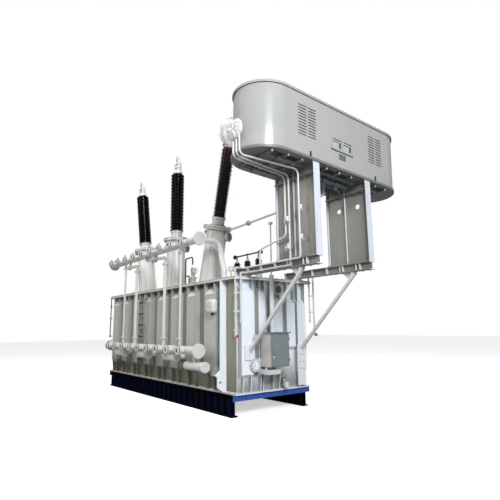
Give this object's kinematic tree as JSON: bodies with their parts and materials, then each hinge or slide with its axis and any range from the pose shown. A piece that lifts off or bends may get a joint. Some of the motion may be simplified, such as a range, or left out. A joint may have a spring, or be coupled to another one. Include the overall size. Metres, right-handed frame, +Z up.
{
  "type": "power transformer",
  "caption": "Oil-filled power transformer with a ribbed tank on a girder stand, tall bushings on turrets, side oil headers and a conservator held out on end brackets.",
  "frame": {"origin": "on the floor plane, under the middle of the whole machine's bounding box", "axes": "+X along the tank towards the conservator, +Y across the tank away from the oil headers, +Z up"},
  "size_m": [8.813, 4.1216, 6.627],
  "materials": {
    "stand_paint": "gloss paint",
    "tank_paint": "semi-gloss paint",
    "conservator_paint": "semi-gloss paint",
    "pipe_paint": "semi-gloss paint",
    "cabinet_paint": "satin paint",
    "primer_red": "satin paint",
    "glaze_black": "glazed porcelain",
    "glaze_brown": "glazed porcelain",
    "terminal_metal": "satin",
    "copper_bar": "satin paint",
    "relay_paint": "semi-gloss paint",
    "wrap_film": "crumpled film",
    "gland_black": "moulded"
  },
  "bodies": {
    "transformer": {"brace_far": "pipe_paint", "brace_near": "pipe_paint", "bracket_leg_far": "tank_paint", "bracket_leg_near": "tank_paint", "cabinet_cap": "cabinet_paint", "cabinet_mounting": "cabinet_paint", "cabinet_shell": "cabinet_paint", "cable_glands": "gland_black", "cable_post": "pipe_paint", "cantilever_beam_far": "tank_paint", "cantilever_beam_near": "tank_paint", "conduits_far": "pipe_paint", "conduits_near": "pipe_paint", "conservator_body": "conservator_paint", "conservator_floor": "conservator_paint", "conservator_pipework": "conservator_paint", "conservator_top": "conservator_paint", "cover_valve": "tank_paint", "drain_valve": "pipe_paint", "end_handhole": "pipe_paint", "end_manhole": "pipe_paint", "gas_relay": "relay_paint", "insulator_left": "glaze_black", "insulator_middle": "glaze_black", "insulator_right": "glaze_brown", "ladder": "pipe_paint", "lower_header": "pipe_paint", "lower_header_valves": "pipe_paint", "neutral_bar": "copper_bar", "oil_drums": "pipe_paint", "relief_drum": "relay_paint", "ribs_front": "tank_paint", "ribs_left_end": "tank_paint", "ribs_rear": "tank_paint", "ribs_right_end": "tank_paint", "risers_left": "pipe_paint", "risers_right": "pipe_paint", "sampling_frame": "primer_red", "sight_frame": "conservator_paint", "small_bushing_pedestals": "tank_paint", "small_bushings": "glaze_black", "stand_cross_members": "stand_paint", "stand_girder_front": "stand_paint", "stand_girder_rear": "stand_paint", "tank_body": "tank_paint", "tank_bottom_plate": "tank_paint", "tank_cover": "tank_paint", "tank_flange": "tank_paint", "terminal_left": "terminal_metal", "terminal_middle": "terminal_metal", "terminal_wrap_right": "wrap_film", "turret_left": "tank_paint", "turret_middle": "tank_paint", "turret_right": "tank_paint", "upper_elbow": "pipe_paint", "upper_header": "pipe_paint", "upper_header_valves": "pipe_paint", "vent_pipe_lower": "pipe_paint", "vent_pipe_upper": "pipe_paint"},
    "cabinet_door": {"cabinet_door": "cabinet_paint"}
  },
  "joints": [
    {"name": "cabinet_door_hinge", "type": "hinge", "parent": "transformer", "child": "cabinet_door", "pos_m": [2.8035, -0.002, 1.26], "axis": [0, 0, 1], "range_deg": [0, 110]}
  ]
}
